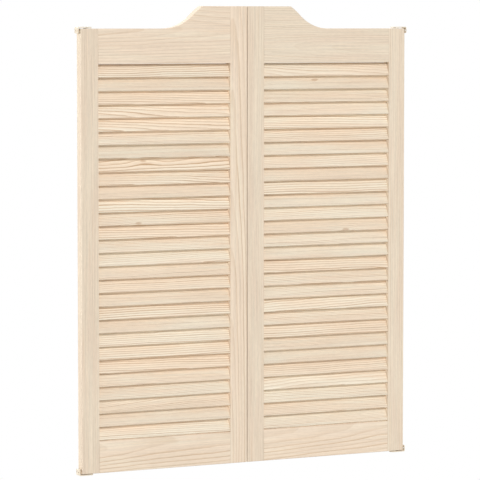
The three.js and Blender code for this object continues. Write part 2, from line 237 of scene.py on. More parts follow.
@dataclass
class NodeSheet:
    """A node tree that is filled from Python expressions."""

    tree: bpy.types.NodeTree

    def __post_init__(self) -> None:
        """Start on an empty tree."""
        self.tree.nodes.clear()

    def node(
        self,
        kind: str,
        settings: dict[str, Any] | None = None,
        inputs: dict[str | int, Any] | None = None,
        output: str | int = 0,
    ) -> Sock | None:
        """Add a node.

        Args:
            kind: The node's type.
            settings: The node's own properties, set first.
            inputs: Values or links of its sockets, by name or place.
            output: The output that is handed back.

        Returns:
            The output, or None where the node has none.
        """
        made = self.tree.nodes.new(kind)
        for name, value in (settings or {}).items():
            setattr(made, name, value)
        for key, value in (inputs or {}).items():
            if isinstance(value, Sock):
                self.tree.links.new(value.socket, made.inputs[key])
            else:
                made.inputs[key].default_value = value
        return Sock(self, made.outputs[output]) if made.outputs else None

    def maths(self, operation: str, *terms: Term) -> Sock:
        """A Math node on one or two values."""
        return self.node("ShaderNodeMath", {"operation": operation}, dict(enumerate(terms)))

    def vector(self, operation: str, *terms: Any) -> Sock:
        """A Vector Math node on two vectors."""
        return self.node("ShaderNodeVectorMath", {"operation": operation}, dict(enumerate(terms)))

    def scaled(self, vector: Sock, factor: Term) -> Sock:
        """A vector or colour times one number."""
        return self.node("ShaderNodeVectorMath", {"operation": "SCALE"}, {0: vector, "Scale": factor})

    def mix(self, amount: Term, first: Any, second: Any) -> Sock:
        """Two colours mixed, all first at zero and all second at one."""
        inputs = {0: amount, MIX_FIRST: first, MIX_SECOND: second}
        return self.node("ShaderNodeMix", {"data_type": "RGBA"}, inputs, MIX_RESULT)

    def split(self, vector: Sock) -> tuple[Sock, Sock, Sock]:
        """The three parts of a vector."""
        parts = self.node("ShaderNodeSeparateXYZ", None, {0: vector})
        return parts, parts.other("Y"), parts.other("Z")

    def joined(self, x: Term, y: Term, z: Term) -> Sock:
        """A vector of three values."""
        return self.node("ShaderNodeCombineXYZ", None, {0: x, 1: y, 2: z})

    def attribute(self, name: str) -> Sock:
        """A vector that is stored on the mesh."""
        return self.node("ShaderNodeAttribute", {"attribute_name": name}, None, "Vector")

    def place(self) -> Sock:
        """The place on the object, in metres."""
        return self.node("ShaderNodeTexCoord", None, None, "Object")

    def noise(self, where: Sock, lengths: Sequence[float], detail: float = 2.0) -> Sock:
        """Noise with features of given lengths.

        Args:
            where: The place, in the same units as the lengths.
            lengths: Size of the features along the three axes.
            detail: Finer layers on top.

        Returns:
            The noise, around one half.
        """
        place = self.vector("DIVIDE", where, tuple(lengths))
        return self.node("ShaderNodeTexNoise", None, {"Vector": place, "Scale": 1.0, "Detail": detail})

    def cells(self, where: Sock, lengths: Sequence[float], dimensions: str = "3D") -> tuple[Sock, Sock]:
        """Cells round scattered points.

        Args:
            where: The place, in the same units as the lengths.
            lengths: Size of the cells along the three axes.
            dimensions: "3D", or "2D" for cells that don't change along the third axis.

        Returns:
            The distance from the nearest point, and a number that is each cell's own.
        """
        place = self.vector("DIVIDE", where, tuple(lengths))
        kind = {"voronoi_dimensions": dimensions}
        spot = self.node("ShaderNodeTexVoronoi", kind, {"Vector": place, "Scale": 1.0})
        return spot, self.split(spot.other("Color"))[0]

    def relief(self, height: Sock, depth: float, strength: float) -> Sock:
        """A bumped normal.

        Args:
            height: The height, between zero and one.
            depth: What a height of one stands for, in metres.
            strength: Share of the relief that shows.

        Returns:
            The normal for a shader.
        """
        return self.node("ShaderNodeBump", None, {"Height": height, "Distance": depth, "Strength": strength})


class ShapeTree:
    """A Geometry Nodes tree with named inputs."""

    def __init__(self, name: str, kinds: dict[str, str]) -> None:
        """Start a tree.

        Args:
            name: The tree's name.
            kinds: The kind of each input's socket, by the input's name.
        """
        self.tree = bpy.data.node_groups.new(name, "GeometryNodeTree")
        self.sheet = NodeSheet(self.tree)
        self.sockets: dict[str, str] = {}
        face = self.tree.interface
        face.new_socket(name="Shape", in_out="OUTPUT", socket_type="NodeSocketGeometry")
        for label, kind in kinds.items():
            made = face.new_socket(name=label, in_out="INPUT", socket_type=f"NodeSocket{kind}")
            self.sockets[label] = made.identifier
        given = self.sheet.node("NodeGroupInput")
        self.size = {label: given.other(label) for label in kinds}

    def swept(self, line: Sock, section: Sock) -> Sock:
        """A closed mesh along a line."""
        inputs = {"Curve": line, "Profile Curve": section, "Fill Caps": True}
        return self.sheet.node("GeometryNodeCurveToMesh", None, inputs)

    def stored(self, shape: Sock, domain: str, name: str, value: Sock) -> Sock:
        """Keep a named vector on each point or instance of a shape.

        Args:
            shape: The shape.
            domain: "POINT" or "INSTANCE".
            name: The vector's name, which the materials read.
            value: The vector.

        Returns:
            The shape that holds it.
        """
        inputs = {"Geometry": shape, "Name": name, "Value": value}
        settings = {"data_type": "FLOAT_VECTOR", "domain": domain}
        return self.sheet.node("GeometryNodeStoreNamedAttribute", settings, inputs)

    def close(self, shape: Sock) -> None:
        """Make a shape's instances real, give it the tree's material and hand it out.

        Args:
            shape: The shape.
        """
        shape = self.sheet.node("GeometryNodeRealizeInstances", None, {"Geometry": shape})
        finish = {"Geometry": shape, "Material": self.size["Material"]}
        shape = self.sheet.node("GeometryNodeSetMaterial", None, finish)
        self.sheet.node("NodeGroupOutput", None, {0: shape})

    def apply(self, thing: Object, values: dict[str, Any]) -> None:
        """Put the tree on an object as a modifier.

        Args:
            thing: The object.
            values: The inputs' values, by name.
        """
        layer = thing.modifiers.new(self.tree.name, "NODES")
        layer.node_group = self.tree
        for label, value in values.items():
            layer[self.sockets[label]] = value


def blank_material(name: str) -> tuple[Material, NodeSheet]:
    """Make an empty material.

    Args:
        name: The material's name.

    Returns:
        The material and its sheet.
    """
    material = bpy.data.materials.new(name)
    material.use_nodes = True
    return material, NodeSheet(material.node_tree)


class Finish:
    """What every finish shares: a named material with one main shader."""

    name: str

    def sockets(self, sheet: NodeSheet) -> dict[str, Any]:
        """Lay out the finish on a sheet.

        Args:
            sheet: The material's sheet.

        Returns:
            Values or links of the main shader's sockets.
        """
        raise NotImplementedError

    def material(self) -> Material:
        """Build the material.

        Returns:
            The material with its shader.
        """
        material, sheet = blank_material(self.name)
        shader = sheet.node("ShaderNodeBsdfPrincipled", None, self.sockets(sheet))
        sheet.node("ShaderNodeOutputMaterial", None, {"Surface": shader})
        return material


@dataclass(frozen=True)
class Feature:
    """Something that varies along a board, such as its fibres."""

    size: Triple  # its size along, across and through the grain, in millimetres
    detail: float  # finer layers on top
    share: float  # how strongly it shows

    def on(self, sheet: NodeSheet, here: Sock) -> Sock:
        """The feature as noise around zero."""
        return sheet.noise(here, self.size, self.detail) - 0.5

    def shown(self, sheet: NodeSheet, here: Sock) -> Sock:
        """The feature as noise around zero, as strong as it shows."""
        return self.on(sheet, here) * self.share


# How a board's seed picks its part of the noise, its rings' lots and its figure
SEED_STRIDE = 7919.0
LOT_STRIDE = 97.0
FIGURE_MIX = (7.31, 3.7)
# Where in a ring, from zero to one, its line rises and falls and its shade rises
LINE_RISE = (0.62, 0.93)
LINE_FALL = (1.0, 0.95)
SHADE_RISE = (0.0, 0.9)
# Least and most of the rings' width and share, of one line, and of a line that is cut flat,
# with the share of the ring's turn across the board at which that starts and ends
PITCH_RANGE = (0.6, 1.5)
SHARE_RANGE = (0.8, 1.3)
LINE_RANGE = (0.25, 1.1)
FLAT_RANGE = (0.25, 1.0)
FLAT_EDGE = (0.0, 0.35)
# Where the knots, what they push, the warm tint and the resin start and are full
KNOT_EDGE = (0.07, 0.03)
KNOT_FRAY = 0.06  # how far the ripple frays a knot's rim
SWIRL_EDGE = (0.4, 0.0)
WARM_EDGE = (-0.2, 0.2)
WARM_LEAN = 0.3  # how far a board's seed shifts its tint
RESIN_EDGE = (0.1, 0.26)
# How strongly the shade and the knots show, and what seed and figure do to a board's tone
SHADE_SHARE = 0.16
KNOT_SHARE = 0.6
TONE_RANGE = (0.95, 0.98)
FIGURE_TONE = 0.08
# The wood's roughness, what takes from it and adds to it, and the relief of its fibres and lines
PINE_ROUGH = 0.66
LINE_GLOSS = 0.1
KNOT_GLOSS = 0.15
FIBRE_ROUGH = 0.12
FIBRE_LIFT = 0.6
LINE_SINK = 0.4


@dataclass(frozen=True)
class PineFinish(Finish):
    """Bare planed pine: growth rings, fibres, resin streaks and pin knots. Lengths are in millimetres."""

    name: str
    early: Colour  # pale wood between the ring lines
    late: Colour  # the ring lines
    blush: Colour  # warmer tint that drifts over a board
    amber: Colour  # resin streaks
    knot: Colour
    ring_pitch: float  # from one ring line to the next
    ring_share: float  # how strongly the ring lines show
    pith_reach: float  # how far across a board the heart of its tree may lie
    pith_offset: float  # how far to one side of a board's middle the heart lies at least
    pith_depth: float  # how far behind a board the heart lies at least
    lean: float  # most that the heart leans against the board's length
    knot_chance: float  # share of the places for a knot that hold one
    pith_spread: float = 38.0  # how much farther behind the heart may lie
    knot_cell: Triple = (150.0, 48.0, 48.0)  # size of a place for a knot
    swirl: float = 4.0  # how far a knot pushes the rings aside
    sway: Feature = Feature((210.0, 60.0, 60.0), 1.0, 9.0)  # the rings' slow bends
    ripple: Feature = Feature((46.0, 14.0, 14.0), 2.0, 2.0)  # the rings' short bends
    fibre: Feature = Feature((34.0, 0.8, 0.8), 3.0, 0.16)
    fleck: Feature = Feature((11.0, 2.4, 2.4), 2.0, 0.16)
    streak: Feature = Feature((150.0, 2.2, 2.2), 3.0, 0.36)
    drift: Feature = Feature((200.0, 22.0, 22.0), 2.0, 1.0)  # the warmer tint's patches
    resin: Feature = Feature((260.0, 5.0, 5.0), 2.0, 0.35)
    relief: Point = (0.00018, 0.3)  # depth of the surface in metres, and the share of it that shows
    gleam: float = 0.3  # strength of the surface's mirror light

    def sockets(self, sheet: NodeSheet) -> dict[str, Any]:
        """Lay out the pine, which reads the boards' grain places and seeds.

        Args:
            sheet: The material's sheet.

        Returns:
            Values or links of the main shader's sockets.
        """
        place, seed = sheet.attribute(GRAIN_PLACE), sheet.attribute(BOARD_SEED)
        here = sheet.vector("ADD", place, sheet.scaled(seed, SEED_STRIDE))
        spread, tilt, back = sheet.split(seed)
        figure = (spread * FIGURE_MIX[0] + tilt * FIGURE_MIX[1]).fract()

        ripple = self.ripple.on(sheet, here)
        spot, lot = sheet.cells(here, self.knot_cell, "2D")
        holds = lot > 1.0 - self.knot_chance
        knot = (spot + ripple * KNOT_FRAY).step(*KNOT_EDGE) * holds
        swirl = spot.step(*SWIRL_EDGE) * holds * self.swirl
        bend = self.sway.shown(sheet, here) + ripple * self.ripple.share + swirl
        line, shade = self._rings(sheet, place, seed, figure, bend)

        fibre = self.fibre.on(sheet, here)
        warm = (self.drift.shown(sheet, here) + (tilt - 0.5) * WARM_LEAN).step(*WARM_EDGE)
        resin = self.resin.on(sheet, here).step(*RESIN_EDGE)
        share = (figure * figure).between(*SHARE_RANGE) * self.ring_share
        colour = sheet.mix(warm, self.early, self.blush)
        colour = sheet.mix((line + shade * SHADE_SHARE) * share, colour, self.late)
        colour = sheet.mix(resin * self.resin.share, colour, self.amber)
        colour = sheet.mix(knot * KNOT_SHARE, colour, self.knot)
        tone = back.between(*TONE_RANGE) + figure * FIGURE_TONE + fibre * self.fibre.share
        tone = tone + self.fleck.shown(sheet, here) + self.streak.shown(sheet, here)
        return {
            "Base Color": sheet.scaled(colour, tone),
            "Roughness": PINE_ROUGH - line * LINE_GLOSS - knot * KNOT_GLOSS + fibre * FIBRE_ROUGH,
            "Normal": sheet.relief(fibre * FIBRE_LIFT - line * LINE_SINK, *self.relief),
            "Specular IOR Level": self.gleam,
        }

    def _rings(
        self, sheet: NodeSheet, place: Sock, seed: Sock, figure: Sock, bend: Sock
    ) -> tuple[Sock, Sock]:
        """Lay the growth rings round the heart of a board's tree.

        Args:
            sheet: The material's sheet.
            place: The place in the board.
            seed: The board's seed.
            figure: How wide its rings are, from zero to one.
            bend: How far the rings are pushed aside.

        Returns:
            The ring lines, and the shade that deepens towards each.
        """
        along, across, through = sheet.split(place)
        spread, tilt, back = sheet.split(seed)
        aside = ((spread > 0.5) - 0.5) * (2.0 * self.pith_offset)
        heart_across = across - (spread - 0.5) * self.pith_reach - aside
        heart_behind = through + self.pith_depth + back * self.pith_spread + along * (tilt - 0.5) * self.lean
        distance = (heart_across * heart_across + heart_behind * heart_behind).root()
        rings = (distance + bend) / (figure.between(*PITCH_RANGE) * self.ring_pitch)
        phase = rings.fract()
        number = {"W": rings.floor() + spread * LOT_STRIDE}
        lot = sheet.node("ShaderNodeTexWhiteNoise", {"noise_dimensions": "1D"}, number)
        dark = (lot * lot * lot).between(*LINE_RANGE)
        crossing = heart_across * heart_across / (distance * distance)
        fall = phase.step(*LINE_FALL)
        line = phase.step(*LINE_RISE) * fall * dark * crossing.step(*FLAT_EDGE).between(*FLAT_RANGE)
        return line, phase.step(*SHADE_RISE) * fall


@dataclass(frozen=True)
class BeechFinish(Finish):
    """Turned beech for the dowels, with its grain along X. Lengths are in metres."""

    name: str
    pale: Colour
    fleck: Colour
    fleck_size: Triple = (0.004, 0.0006, 0.0006)
    fleck_edge: Point = (0.5, 0.68)  # where in the noise a fleck starts and is full
    fleck_share: float = 0.6  # how strongly the flecks show
    drift_size: Triple = (0.05, 0.004, 0.004)
    tone: Point = (0.92, 1.08)  # least and most tone
    rough: Point = (0.55, 0.65)  # roughness of the ground and of the flecks
    relief: Point = (0.0001, 0.3)  # depth of the flecks, and the share of it that shows

    def sockets(self, sheet: NodeSheet) -> dict[str, Any]:
        """Lay out the beech.

        Args:
            sheet: The material's sheet.

        Returns:
            Values or links of the main shader's sockets.
        """
        place = sheet.place()
        fleck = sheet.noise(place, self.fleck_size).step(*self.fleck_edge)
        tone = sheet.noise(place, self.drift_size, 1.0).between(*self.tone)
        colour = sheet.mix(fleck * self.fleck_share, self.pale, self.fleck)
        return {
            "Base Color": sheet.scaled(colour, tone),
            "Roughness": fleck.between(*self.rough),
            "Normal": sheet.relief(fleck, *self.relief),
        }


@dataclass(frozen=True)
class FittingFinish(Finish):
    """Steel, enamel or nylon: two shades in patches under a fine grit. Lengths are in metres."""

    name: str
    ground: Colour
    patch: Colour  # the shade of the patches, which are crystals in metal and clouds elsewhere
    patch_size: float
    grit_size: Triple  # size of the grit along X, Y and Z
    grit_detail: float  # finer layers on the grit
    rough: Point  # least and most roughness of the ground
    relief: Point  # depth of the grit, and the share of it that shows
    patch_rough: float = 0.0  # how much rougher the patches are
    metallic: float = 0.0  # one for bare metal
    coat: float = 0.0  # weight of a clear coat on top

    def sockets(self, sheet: NodeSheet) -> dict[str, Any]:
        """Lay out the patches and the grit.

        Args:
            sheet: The material's sheet.

        Returns:
            Values or links of the main shader's sockets.
        """
        place, size = sheet.place(), (self.patch_size,) * 3
        patch = sheet.cells(place, size)[1] if self.metallic else sheet.noise(place, size)
        grit = sheet.noise(place, self.grit_size, self.grit_detail)
        return {
            "Base Color": sheet.mix(patch, self.ground, self.patch),
            "Metallic": self.metallic,
            "Roughness": patch * self.patch_rough + grit.between(*self.rough),
            "Normal": sheet.relief(grit, *self.relief),
            "Coat Weight": self.coat,
        }


def sweep(turn: float, steps: int) -> list[float]:
    """Angles from zero to a turn, in equal steps."""
    return [turn * i / steps for i in range(steps + 1)]


def loft(rings: Sequence[Ring], looped: bool = False) -> Mesh:
    """Skin a row of rings into one closed shell.

    Args:
        rings: Rings with equal numbers of points, in order.
        looped: Whether the last ring joins the first, instead of both being capped.

    Returns:
        The shell, with its faces outwards.
    """
    shell = bmesh.new()
    rows = [[shell.verts.new(point) for point in ring] for ring in rings]
    pairs = list(zip(rows, rows[1:])) + ([(rows[-1], rows[0])] if looped else [])
    count = len(rows[0])
    for low, high in pairs:
        for i in range(count):
            j = (i + 1) % count
            shell.faces.new((low[i], low[j], high[j], high[i]))
    if not looped:
        shell.faces.new(rows[0])
        shell.faces.new(rows[-1])
    bmesh.ops.recalc_face_normals(shell, faces=shell.faces)
    mesh = bpy.data.meshes.new("shell")
    shell.to_mesh(mesh)
    shell.free()
    return mesh


def turned(profile: Sequence[Point], centre: Vector, axis: Vector, hollow: bool = False) -> Mesh:
    """Turn a profile round an axis.

    Args:
        profile: Radius and distance along the axis, in order.
        centre: Where the distance is zero.
        axis: The axis, of length one.
        hollow: Whether the profile is a closed loop off the axis.

    Returns:
        The turned shell.
    """
    first = axis.orthogonal().normalized()
    second = axis.cross(first)
    angles = sweep(2 * math.pi, ROUND_SIDES)[:-1]
    spokes = [first * math.cos(angle) + second * math.sin(angle) for angle in angles]
    rings = [[centre + axis * height + spoke * radius for spoke in spokes] for radius, height in profile]
    return loft(rings, hollow)


def sunk(hole: float, head: float, sink: float, through: float) -> list[Point]:
    """Profile of what a countersunk hole takes out, from its head on."""
    return [(head, -OVERCUT), (head, 0), (hole, sink), (hole, through)]


def rounded(low: Point, high: Point, radii: Sequence[float]) -> list[Point]:
    """Outline of a rectangle with rounded corners.

    Args:
        low: Its lowest corner.
        high: Its highest corner.
        radii: Radii of its corners, counterclockwise from the lowest.

    Returns:
        The outline, counterclockwise.
    """
    corners = (low, (high[0], low[1]), high, (low[0], high[1]))
    ways = ((1, 1), (-1, 1), (-1, -1), (1, -1))
    outline = []
    for turn, ((x, y), (right, up), radius) in enumerate(zip(corners, ways, radii)):
        for bend in sweep(QUARTER, ARC_STEPS):
            angle = math.pi + turn * QUARTER + bend
            outline.append((x + radius * (right + math.cos(angle)), y + radius * (up + math.sin(angle))))
    return outline


def eased(low: float, high: float, ease: float) -> list[Point]:
    """Steps along a run whose two ends have rounded arrises.

    Args:
        low: Where the run starts.
        high: Where it ends.
        ease: The arrises' radius.

    Returns:
        How far in from the side each step lies, and where along the run.
    """
    steps = [(ease * (1 - math.sin(a)), ease * (1 - math.cos(a))) for a in sweep(QUARTER, ARC_STEPS)]
    rising = [(inset, low + rise) for inset, rise in steps]
    return rising + [(inset, high - rise) for inset, rise in reversed(steps)]


def placed(name: str, data: bpy.types.ID) -> Object:
    """Put a mesh, a curve, a lamp or a camera into the scene at the origin.

    Args:
        name: The object's name.
        data: What it holds.

    Returns:
        The new object.
    """
    data.name = name
    thing = bpy.data.objects.new(name, data)
    bpy.context.scene.collection.objects.link(thing)
    return thing


def aimed(thing: Object, place: Sequence[float], way: Vector) -> None:
    """Move a lamp or a camera to its place and turn it the way that it faces."""
    thing.location = place
    thing.rotation_euler = way.to_track_quat("-Z", "Y").to_euler()


def heading(turn: float, lift: float) -> Vector:
    """The way that lies a turn to the right of straight back and a lift over the level, in degrees."""
    turn, lift = math.radians(turn), math.radians(lift)
    return Vector((math.sin(turn) * math.cos(lift), math.cos(turn) * math.cos(lift), math.sin(lift)))


def baked(thing: Object) -> Mesh:
    """Work out an object's modifiers.

    Args:
        thing: The object, which stays as it is.

    Returns:
        A plain mesh of the result.
    """
    bpy.context.view_layer.update()
    graph = bpy.context.evaluated_depsgraph_get()
    return bpy.data.meshes.new_from_object(thing.evaluated_get(graph))


def settled(thing: Object) -> None:
    """Turn an object's modifiers into a plain mesh and drop them.

    Args:
        thing: The object, whose old mesh is removed.
    """
    mesh, old = baked(thing), thing.data
    thing.modifiers.clear()
    thing.data = mesh
    mesh.name = thing.name
    bpy.data.meshes.remove(old)


def carved(thing: Object, cutters: Sequence[Mesh]) -> None:
    """Take shells out of an object.

    Args:
        thing: The object to cut.
        cutters: What is taken out, which is used up.
    """
    whole = bmesh.new()
    for mesh in cutters:
        whole.from_mesh(mesh)
        bpy.data.meshes.remove(mesh)
    spent = bpy.data.meshes.new("cutter")
    whole.to_mesh(spent)
    whole.free()
    tool = placed("cutter", spent)
    cut = thing.modifiers.new("cut", "BOOLEAN")
    cut.operation = "DIFFERENCE"
    cut.solver = "EXACT"
    cut.object = tool
    settled(thing)
    bpy.data.objects.remove(tool)
    bpy.data.meshes.remove(spent)


def smooth(thing: Object) -> None:
    """Shade an object smooth, apart from its sharp edges."""
    thing.data.shade_smooth()
    thing.data.set_sharp_from_angle(angle=SMOOTH_ANGLE)


def dressed(thing: Object, material: Material, slot: Slot, *nodes: str) -> None:
    """Give a piece its material, hide the nodes that it stands for and report it.

    Args:
        thing: The piece.
        material: Its material.
        slot: The slot for its finish; not used.
        nodes: The nodes that it stands for.
    """
    thing.data.materials.clear()
    thing.data.materials.append(material)
    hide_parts(*nodes)
    log.info("%s: %d faces", thing.name, len(thing.data.polygons))


@dataclass
class LeafFrame:
    """The two stiles and two rails of a leaf. Lengths are in metres."""

    side: Side
    pine: Material
    draw: random.Random
    slats: "LouvreSlats"
    ease: float = 1.8 * MM  # radius of the arrises that hands meet
    meeting_ease: float = 0.3 * MM  # radius of the arrises where the leaves meet
    rail_ease: float = 0.6 * MM  # radius of the bottom rail's arrises below the slats
    inner_ease: float = 0.15 * MM  # radius of the arrises next to a joint or the slats
    fit: float = PLAY  # room round a dowel or bush in its hole
    flange: float = BUSH_FLANGE
    bore_spare: float = 2.0 * MM  # depth of a pivot bore past what it holds
    crest_length: float = 107.0 * MM  # level crest, from the meeting edge
    crest_radius: float = 160.0 * MM  # radius of the round shoulder
    crest_break: float = math.radians(34)  # angle at which the shoulder leaves the crest
    cove_radius: float = 96.0 * MM  # radius of the hollow below the shoulder
    cove_steps: int = 28  # steps in each of the two curves

    def build(self) -> None:
        """Build and dress the four boards."""
        for edge in Edge:
            self._stile(edge)
        self._bottom_rail()
        self._top_rail()

    def _board(self, name: str, rings: Sequence[Ring], cutters: Sequence[Mesh], grain: Grain) -> None:
        """Build one board, mark its grain and dress it.

        Args:
            name: The node that it stands for, without the leaf's word.
            rings: The rings of its skin.
            cutters: What is taken out of it.
            grain: Which way its grain runs.
        """
        node = self.side.node(name)
        thing = placed(f"{node}_board", loft(rings))
        carved(thing, cutters)
        low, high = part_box(node)
        middle = (low + high) / 2
        seed = [self.draw.random() for _ in range(3)]
        mesh = thing.data
        place = mesh.attributes.new(GRAIN_PLACE, "FLOAT_VECTOR", "POINT")
        lot = mesh.attributes.new(BOARD_SEED, "FLOAT_VECTOR", "POINT")
        for vertex in mesh.vertices:
            offset = (vertex.co - middle) / MM
            place.data[vertex.index].vector = [offset[axis] for axis in grain.value]
            lot.data[vertex.index].vector = seed
        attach(thing, self.side.leaf)
        dressed(thing, self.pine, Slot.FRAME_PINE, node)

    def _dowel_holes(self, ends: Iterable[End], edges: Iterable[Edge]) -> list[Mesh]:
        """What the dowels of some joints take out.

        Args:
            ends: The leaf's ends that the joints lie at.
            edges: The leaf's edges that they lie at.

        Returns:
            Two turned shells for each joint.
        """
        holes = []
        for end, edge, number in itertools.product(ends, edges, (1, 2)):
            low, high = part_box(self.side.node(f"{end.title}_{edge.value}_dowel_{number}"))
            radius = (high.z - low.z) / 2 + self.fit
            centre = Vector((low.x - self.fit, 0, (low.z + high.z) / 2))
            length = high.x - low.x + 2 * self.fit
            holes.append(turned([(radius, 0), (radius, length)], centre, Vector((1, 0, 0))))
        return holes

    def _pivot_bores(self) -> list[Mesh]:
        """What the pivots take out of the hinge stile's two ends.

        Returns:
            The lower bush's bore and the spring's bore.
        """
        bores = []
        for end, deepest in ((End.BOTTOM, "bottom_bush"), (End.TOP, "top_pin")):
            low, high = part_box(self.side.node(f"{end.title}_bush"))
            radius = (high.x - low.x) / 2 - self.flange + self.fit
            mouth, floor = end.outer((low, high)), end.inner(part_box(self.side.node(deepest)))
            depth = abs(floor - mouth) + self.bore_spare
            centre = Vector(((low.x + high.x) / 2, 0, mouth))
            bores.append(turned([(radius, -OVERCUT), (radius, depth)], centre, end.inward))
        return bores

    def _stile(self, edge: Edge) -> None:
        """Build one stile, with its housings, dowel holes and bores.

        Args:
            edge: The leaf's edge that it lies at.
        """
        name = f"{edge.value}_stile"
        low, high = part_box(self.side.node(name))
        inward = -self.side.value if edge is Edge.HINGE else self.side.value
        outer = self.ease if edge is Edge.HINGE else self.meeting_ease
        inner = self.inner_ease
        radii = (outer, inner, inner, outer) if inward > 0 else (inner, outer, outer, inner)
        rings = []
        for inset, z in eased(low.z, high.z, self.ease):
            left = low.x + (inset if inward > 0 else 0)
            right = high.x - (inset if inward < 0 else 0)
            outline = rounded((left, low.y + inset), (right, high.y - inset), radii)
            rings.append([Vector((x, y, z)) for x, y in outline])
        face = high.x if inward > 0 else low.x
        cutters = self.slats.housings(self.side, face, -inward) + self._dowel_holes(End, [edge])
        if edge is Edge.HINGE:
            cutters += self._pivot_bores()
        self._board(name, rings, cutters, Grain.UPRIGHT)

    def _bottom_rail(self) -> None:
        """Build the straight rail between the stiles' feet."""
        low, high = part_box(self.side.node("bottom_rail"))
        radii = (self.ease, self.ease, self.rail_ease, self.rail_ease)
        outline = rounded((low.y, low.z), (high.y, high.z), radii)
        rings = [[Vector((x, y, z)) for y, z in outline] for x in (low.x, high.x)]
        self._board("bottom_rail", rings, self._dowel_holes([End.BOTTOM], Edge), Grain.LEVEL)

    def _crest(self, start: float, end: float, foot_z: float, crest_z: float) -> list[tuple[Point, Point]]:
        """The top rail's upper line, from the hinge side to the meeting side.

        Args:
            start: Distance of the rail's meeting end from the meeting edge.
            end: Distance of its hinge end.
            foot_z: Height of the level part at the hinge side.
            crest_z: Height of the crest.

        Returns:
            Points as distance and height, each with the way out of the wood there.
        """
        crest, cove = self.crest_radius, self.cove_radius
        shoulder = crest * math.cos(self.crest_break)
        slope = math.acos((cove + shoulder - (crest_z - foot_z)) / (cove + crest))
        meet = self.crest_length + crest * (math.sin(slope) - math.sin(self.crest_break))
        foot = meet + cove * math.sin(slope)
        middle = self.crest_length - crest * math.sin(self.crest_break)
        line = [((end, foot_z), (0.0, 1.0))]
        for angle in sweep(slope, self.cove_steps):
            way = (math.sin(angle), math.cos(angle))
            line.append(((foot - cove * way[0], foot_z + cove * (1 - way[1])), way))
        for bend in sweep(self.crest_break - slope, self.cove_steps)[1:]:
            way = (math.sin(slope + bend), math.cos(slope + bend))
            line.append(((middle + crest * way[0], crest_z - shoulder + crest * way[1]), way))
        # At the break the two rounded arrises meet on their mitre
        line[-1] = (line[-1][0], (math.tan(self.crest_break / 2), 1.0))
        line.append(((start, crest_z), (0.0, 1.0)))
        return line

    def _top_rail(self) -> None:
        """Build the rail that sweeps up to the crest."""
        low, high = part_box(self.side.node("top_rail"))
        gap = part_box(self.side.node("meeting_stile"))[1 if self.side is Side.LEFT else 0].x
        start, end = sorted((abs(low.x - gap), abs(high.x - gap)))
        foot_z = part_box(self.side.node("hinge_stile"))[1].z
        line = self._crest(start, end, foot_z, high.z)
        share = self.inner_ease / self.ease
        rings = []
        for inset, y in eased(low.y, high.y, self.ease):
            outline = [(d - inset * out, z - inset * up) for (d, z), (out, up) in line]
            outline += [(start, low.z + inset * share), (end, low.z + inset * share)]
            rings.append([Vector((gap + self.side.value * d, y, z)) for d, z in outline])
        self._board("top_rail", rings, self._dowel_holes([End.TOP], Edge), Grain.LEVEL)


